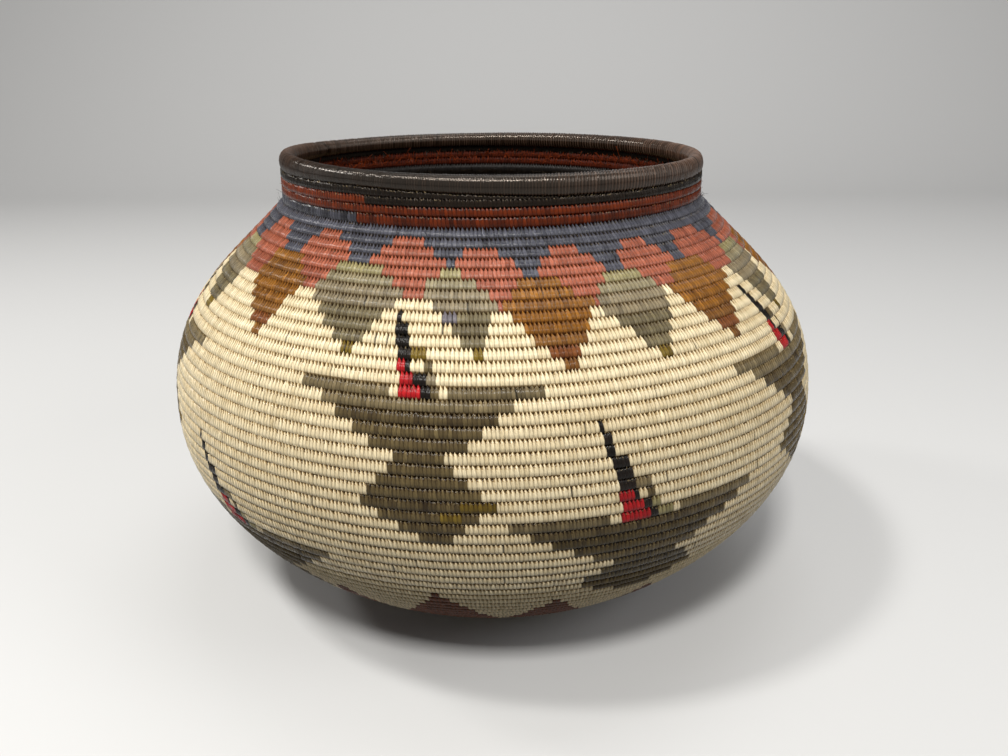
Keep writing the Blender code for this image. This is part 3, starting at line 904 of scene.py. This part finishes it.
def start_knot(finish):
    """The wound knot in the middle of the base."""
    deselect()
    bpy.ops.mesh.primitive_uv_sphere_add(segments=48, ring_count=24, radius=KNOT_RADIUS)
    knot = bpy.context.object
    knot.name = "start_knot_wound"
    mesh = knot.data
    corners = corners_of(mesh)
    directions = corners / np.linalg.norm(corners, axis=1)[:, None]
    azimuth = np.arctan2(directions[:, 1], directions[:, 0])
    winding = np.sin(azimuth * KNOT_WINDS + directions[:, 2] * KNOT_TWIST)
    swell = 1.0 - KNOT_GROOVE * (1.0 - winding)
    shaped = corners * swell[:, None]
    shaped[:, 2] = np.maximum(shaped[:, 2] * KNOT_FLATNESS + KNOT_HEIGHT, 0.0)
    mesh.vertices.foreach_set("co", shaped.ravel())
    weave = np.stack((azimuth * KNOT_WEAVE, directions[:, 2], swell), axis=1)
    # Painted shade in the grooves between the windings
    hollow_shade = np.clip(KNOT_SHADE * (1.0 - winding), 0.0, 1.0)
    colour = np.array([screen(*DYES["earth"][0])])
    set_strand_values(mesh, weave, hollow_shade, colour, np.zeros(len(mesh.polygons), dtype=int))
    mesh.shade_smooth()
    mesh.materials.append(finish)
    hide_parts("start_knot")
    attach(knot, "root")


def fibre_places():
    """Turn, place, side (1 outside, -1 inside), length and lift of each loose end of fibre."""
    places = []
    for number, first, last, lift in INNER_FIBRES:
        for _ in range(number):
            places.append((random.uniform(first, last), random.uniform(*INNER_PLACES), -1,
                           random.uniform(*INNER_LENGTHS), lift))
    for number, turns, degrees, lengths, lift in OUTER_FIBRES:
        for _ in range(number):
            places.append((random.uniform(*turns), random.uniform(*degrees), 1,
                           random.uniform(*lengths), lift))
    places.extend(LONG_FIBRES)
    return np.array(places)


def loose_fibres(wall, chart, finish):
    """Fine ends of fibre that stand out of the sewing, most of them in and under the rim."""
    places = fibre_places()
    count = len(places)
    deselect()
    bpy.ops.mesh.primitive_circle_add(vertices=4, radius=1.0, fill_type="NGON")
    fibres = bpy.context.object
    fibres.name = "loose_fibre_ends"
    mesh = fibres.data
    mesh.name = "loose_fibre_ends"
    for _ in range(FIBRE_STEPS):
        extrude((0.0, 0.0, 1.0))
    repeat_in_row(fibres, count, FIBRE_SPACING, merged=False)
    face_outwards()

    corners = corners_of(mesh)
    each = np.rint(corners[:, 0] / FIBRE_SPACING).astype(int)
    aside = (corners[:, 0] - FIBRE_SPACING * each)[:, None]
    beyond = corners[:, 1][:, None]
    along = (corners[:, 2] / FIBRE_STEPS)[:, None]

    rows, degrees, side, length, lift = places.T
    from_row_start = (degrees - END_DEGREES) / 360.0
    turns = np.round(rows - from_row_start) + from_row_start
    angle = np.radians(degrees)
    radius, height, slope, pitch = wall.at(turns)
    out = round_the_axis(np.sin(slope), angle, -np.cos(slope))
    around = np.stack((np.cos(angle), np.sin(angle), np.zeros_like(angle)), axis=1)
    inner_face = THICKNESS * MILLIMETRE * pitch / PITCH_BELLY
    depth = np.where(side > 0, -FIBRE_ROOT, FIBRE_ROOT - inner_face)
    root = round_the_axis(radius, angle, height) + out * depth[:, None]
    upwards = np.tile((0.0, 0.0, 1.0), (count, 1))
    lean = random.normal(0.0, FIBRE_LEAN, count)
    direction = out * side[:, None] + upwards * lift[:, None] + around * lean[:, None]
    direction /= np.linalg.norm(direction, axis=1)[:, None]
    bend = np.stack([random.normal(0.0, FIBRE_BEND, count) for _ in range(3)], axis=1)
    across = np.cross(direction, upwards)
    across /= np.linalg.norm(across, axis=1)[:, None]
    beside = np.cross(across, direction)
    reach = (length * MILLIMETRE)[each][:, None] * along
    full_width = np.where(side > 0, FIBRE_WIDTH, INNER_WIDTH)[each][:, None]
    half_width = full_width / 2 * (1.0 - FIBRE_THINNING * along)
    bent = root[each] + (direction[each] + bend[each] * along) * reach
    bent += (across[each] * aside + beside[each] * beyond) * half_width
    bent[:, 2] = np.maximum(bent[:, 2], 0.0)
    mesh.vertices.foreach_set("co", bent.ravel())

    middle, spread = FIBRE_WEAVE
    weave = np.stack((middle + spread * corners[:, 1], corners[:, 2], each), axis=1)
    # Painted shade: the fibres below the neck take the black dye; painted light: all inside fibres
    # are paler
    in_the_dark = (side < 0) & (turns < DARK_INNER_TURNS[1])
    colours = chart.paint(np.where(in_the_dark, INNER_PAINTED_SHADE_DYE_TURN, turns))
    colours[side < 0] *= INNER_PAINTED_LIGHT
    fibre_of_face = np.rint(face_means(mesh, each)).astype(int)
    set_strand_values(mesh, weave, np.zeros(len(corners)), colours, fibre_of_face)
    mesh.shade_smooth()
    mesh.materials.append(finish)
    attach(fibres, "root")


def new_finish(name):
    """A new material, with its node tree and its shader."""
    finish = bpy.data.materials.new(name)
    finish.use_nodes = True
    return finish, finish.node_tree, finish.node_tree.nodes["Principled BSDF"]


def attribute(tree, name, output):
    """A value that the piece's own mesh carries."""
    node = tree.nodes.new("ShaderNodeAttribute")
    node.attribute_name = name
    return node.outputs[output]


def maths(tree, operation, first, second):
    """An operation on two values, the second of which may be a number."""
    node = tree.nodes.new("ShaderNodeMath")
    node.operation = operation
    tree.links.new(first, node.inputs[0])
    if isinstance(second, float):
        node.inputs[1].default_value = second
    else:
        tree.links.new(second, node.inputs[1])
    return node.outputs["Value"]


def ranged(tree, value, low, high, at_low, at_high, blend="LINEAR"):
    """A value that goes from at_low to at_high while another goes from low to high."""
    node = tree.nodes.new("ShaderNodeMapRange")
    node.interpolation_type = blend
    node.inputs["From Min"].default_value = low
    node.inputs["From Max"].default_value = high
    node.inputs["To Min"].default_value = at_low
    node.inputs["To Max"].default_value = at_high
    tree.links.new(value, node.inputs["Value"])
    return node.outputs["Result"]


def noise(tree, place, scale, detail):
    """Noise at a place, with its own scale in each direction."""
    mapping = tree.nodes.new("ShaderNodeMapping")
    mapping.inputs["Scale"].default_value = scale
    tree.links.new(place, mapping.inputs["Vector"])
    node = tree.nodes.new("ShaderNodeTexNoise")
    node.inputs["Scale"].default_value = 1.0
    node.inputs["Detail"].default_value = detail
    tree.links.new(mapping.outputs["Vector"], node.inputs["Vector"])
    return node.outputs["Fac"]


def ramp(tree, value, first, last, between=()):
    """A colour that goes from first to last, by way of others that are given with their places."""
    node = tree.nodes.new("ShaderNodeValToRGB")
    node.color_ramp.elements[0].color = first
    node.color_ramp.elements[1].color = last
    for place, colour in between:
        node.color_ramp.elements.new(place).color = colour
    tree.links.new(value, node.inputs["Fac"])
    return node.outputs["Color"]


def strand_finish(name, roughness, gloss, flecked, streak, seam, relief, sheen):
    """Dyed palm strand: fine fibres along it, pale flecks at the stitches' tips, dull inside.
    The flecks are partly bare fibre and partly painted glints, and painted shade darkens the dye
    down between the rounds and in the slits.
    """
    finish, tree, shader = new_finish(name)
    shader.inputs["Specular IOR Level"].default_value = gloss
    shader.inputs["Specular Tint"].default_value = sheen
    weave = attribute(tree, "weave", "Vector")
    parts = tree.nodes.new("ShaderNodeSeparateXYZ")
    tree.links.new(weave, parts.inputs["Vector"])
    across, up, out = parts.outputs["X"], parts.outputs["Y"], parts.outputs["Z"]

    fibres = noise(tree, weave, FIBRE_STRETCH, 3.0)
    fibre_tone = ranged(tree, fibres, *FIBRE_LEVELS, 1.0 - streak,
                        1.0 + streak * FIBRE_BRIGHTENING)
    # Painted shade in the slits where two stitches stand apart
    slit_shade = ranged(tree, attribute(tree, "slit", "Fac"), *SLIT_LEVELS, 1.0, SLIT_PAINTED_SHADE)
    from_seam = maths(tree, "PINGPONG", across, 0.5)
    seam_tone = ranged(tree, from_seam, 0.0, SEAM_REACH, seam, 1.0)
    tone = maths(tree, "MULTIPLY", maths(tree, "MULTIPLY", fibre_tone, slit_shade), seam_tone)
    # Painted shade down between the rounds, which darkens the dye
    hollow_shade = attribute(tree, "hollow_shade", "Fac")
    painted_depth_shade = ramp(tree, hollow_shade, OPEN_TONE, DEEP_PAINTED_SHADE, (HALF_DEEP_PAINTED_SHADE,))
    shaded = tree.nodes.new("ShaderNodeVectorMath")
    shaded.operation = "MULTIPLY"
    tree.links.new(attribute(tree, "dye", "Color"), shaded.inputs[0])
    tree.links.new(painted_depth_shade, shaded.inputs[1])
    toned = tree.nodes.new("ShaderNodeVectorMath")
    toned.operation = "SCALE"
    tree.links.new(shaded.outputs["Vector"], toned.inputs[0])
    tree.links.new(tone, toned.inputs["Scale"])

    # Pale flecks at the tips of the outer face: partly bare fibre, partly painted glints
    grain = noise(tree, weave, FLECK_STRETCH, 0.0)
    flecks = ranged(tree, grain, *FLECK_LEVELS, 0.0, flecked)
    at_tip = ranged(tree, up, *TIP_LEVELS, 0.0, 1.0)
    outside = maths(tree, "GREATER_THAN", out, OUTER_FACE)
    bare_fibre_and_glint = maths(tree, "MULTIPLY", maths(tree, "MULTIPLY", flecks, at_tip), outside)
    bare_fibre_and_glint_mix = tree.nodes.new("ShaderNodeMix")
    bare_fibre_and_glint_mix.data_type = "RGBA"
    bare_fibre_and_glint_mix.inputs["B"].default_value = (*screen(*FLECK_COLOUR), 1.0)
    tree.links.new(bare_fibre_and_glint, bare_fibre_and_glint_mix.inputs["Factor"])
    tree.links.new(toned.outputs["Vector"], bare_fibre_and_glint_mix.inputs["A"])
    tree.links.new(bare_fibre_and_glint_mix.outputs["Result"], shader.inputs["Base Color"])

    dullness = ranged(tree, out, *INNER_FACE_LEVELS, INNER_ROUGHNESS, roughness)
    tree.links.new(dullness, shader.inputs["Roughness"])

    roundness = ranged(tree, from_seam, 0.0, ROUNDING_REACH, 0.0, 1.0, "SMOOTHSTEP")
    bump = tree.nodes.new("ShaderNodeBump")
    bump.inputs["Strength"].default_value = BUMP_STRENGTH
    bump.inputs["Distance"].default_value = relief
    tree.links.new(maths(tree, "ADD", roundness, fibres), bump.inputs["Height"])
    tree.links.new(bump.outputs["Normal"], shader.inputs["Normal"])
    return finish


def bundle_finish():
    """Raw fibre bundle, for the core of the rim."""
    finish, tree, shader = new_finish("fibre_bundle")
    shader.inputs["Roughness"].default_value = BUNDLE_ROUGHNESS
    place = tree.nodes.new("ShaderNodeTexCoord").outputs["Object"]
    dark, light = ((*screen(*tone), 1.0) for tone in BUNDLE_TONES)
    tones = ramp(tree, noise(tree, place, BUNDLE_GRAIN, 2.0), dark, light)
    tree.links.new(tones, shader.inputs["Base Color"])
    return finish


def seen_rays(tree):
    """1 for what the camera sees, straight or by way of a glossy or clear surface, or else 0."""
    rays = tree.nodes.new("ShaderNodeLightPath").outputs
    mirrored = maths(tree, "MAXIMUM", rays["Is Glossy Ray"], rays["Is Transmission Ray"])
    return maths(tree, "MAXIMUM", rays["Is Camera Ray"], mirrored)


def floor_finish():
    """A plain pale floor that throws only a little light back on the basket."""
    finish, tree, shader = new_finish("pale_floor")
    shader.inputs["Roughness"].default_value = FLOOR_ROUGHNESS
    paleness = ranged(tree, seen_rays(tree), 0.0, 1.0, FLOOR_BOUNCE, FLOOR_PALENESS)
    tree.links.new(paleness, shader.inputs["Base Color"])
    return finish


def select_edges(mesh, chosen):
    """Select the edges whose two ends are chosen, and stay in edit mode."""
    bpy.ops.object.mode_set(mode="EDIT")
    bpy.ops.mesh.select_mode(type="EDGE")
    bpy.ops.mesh.select_all(action="DESELECT")
    bpy.ops.object.mode_set(mode="OBJECT")
    for edge in mesh.edges:
        edge.select = all(chosen(mesh.vertices[i].co) for i in edge.vertices)
    bpy.ops.object.mode_set(mode="EDIT")


def stage(finish):
    """A pale floor that sweeps up into a pale wall behind."""
    deselect()
    bpy.ops.mesh.primitive_plane_add(size=1.0)
    floor = bpy.context.object
    floor.name = "floor"
    mesh = floor.data
    for corner in mesh.vertices:
        corner.co.x *= STAGE_WIDTH
        corner.co.y = STAGE_BACK if corner.co.y > 0 else -STAGE_FRONT
        corner.co.z = -STAGE_GAP
    select_edges(mesh, lambda place: place.y > 0)
    extrude((0.0, 0.0, STAGE_HEIGHT))
    select_edges(mesh, lambda place: place.y > 0 and place.z < STAGE_HEIGHT / 2)
    bpy.ops.mesh.bevel(offset=STAGE_BEND, segments=STAGE_BEND_STEPS, profile=0.5)
    face_outwards()
    mesh.shade_smooth()
    mesh.materials.append(finish)


def area_light(name, place, aim, size, power, colour):
    data = bpy.data.lights.new(name, "AREA")
    data.shape = "SQUARE"
    data.size = size
    data.energy = power
    data.color = colour
    lamp = bpy.data.objects.new(name, data)
    bpy.context.scene.collection.objects.link(lamp)
    lamp.location = place
    lamp.rotation_euler = (Vector(aim) - Vector(place)).to_track_quat("-Z", "Y").to_euler()


def room_light():
    """A pale room, which lights the basket only a little."""
    world = bpy.data.worlds.new("room")
    bpy.context.scene.world = world
    world.use_nodes = True
    tree = world.node_tree
    background = tree.nodes["Background"]
    background.inputs["Color"].default_value = ROOM_COLOUR
    strength = ranged(tree, seen_rays(tree), 0.0, 1.0, ROOM_LIGHT, ROOM_PALENESS)
    tree.links.new(strength, background.inputs["Strength"])


def camera():
    data = bpy.data.cameras.new("camera")
    data.lens = FOCAL_PIXELS * SENSOR_WIDTH / IMAGE_WIDTH
    data.sensor_width = SENSOR_WIDTH
    data.clip_start = NEAREST_SEEN
    eye = bpy.data.objects.new("camera", data)
    bpy.context.scene.collection.objects.link(eye)
    to_the_right = Matrix.Rotation(-CAMERA_RIGHT, 4, "Z")
    downwards = Matrix.Rotation(math.pi / 2 - CAMERA_DOWN, 4, "X")
    roll = Matrix.Rotation(CAMERA_ROLL, 4, "Z")
    eye.matrix_world = Matrix.Translation(CAMERA_PLACE) @ to_the_right @ downwards @ roll
    bpy.context.scene.camera = eye


def main():
    camera()
    for lamp in LAMPS:
        area_light(*lamp)
    room_light()
    bpy.context.scene.view_settings.view_transform = "Standard"
    stage(floor_finish())
    finishes = {name: strand_finish(name, *looks) for name, looks in FINISHES.items()}
    wall = Wall()
    chart = Chart()
    for node, finish, edges in STRETCHES:
        edges = [wall.first_full - START_TAPER if edge is None else edge for edge in edges]
        strips = list(zip(edges, edges[1:]))
        for number, (first, last) in enumerate(strips, 1):
            name = f"sewn_{node}_{number}" if len(strips) > 1 else f"sewn_{node}"
            sewn_coil(wall, chart, name, node, first, last, finishes[finish])
    rim_roll(finishes["wound_rim_strand"])
    start_knot(finishes["dyed_palm_strand"])
    loose_fibres(wall, chart, finishes["dyed_palm_strand"])
    core = bpy.data.objects["rim_core"]
    core.data.materials.clear()
    core.data.materials.append(bundle_finish())


main()
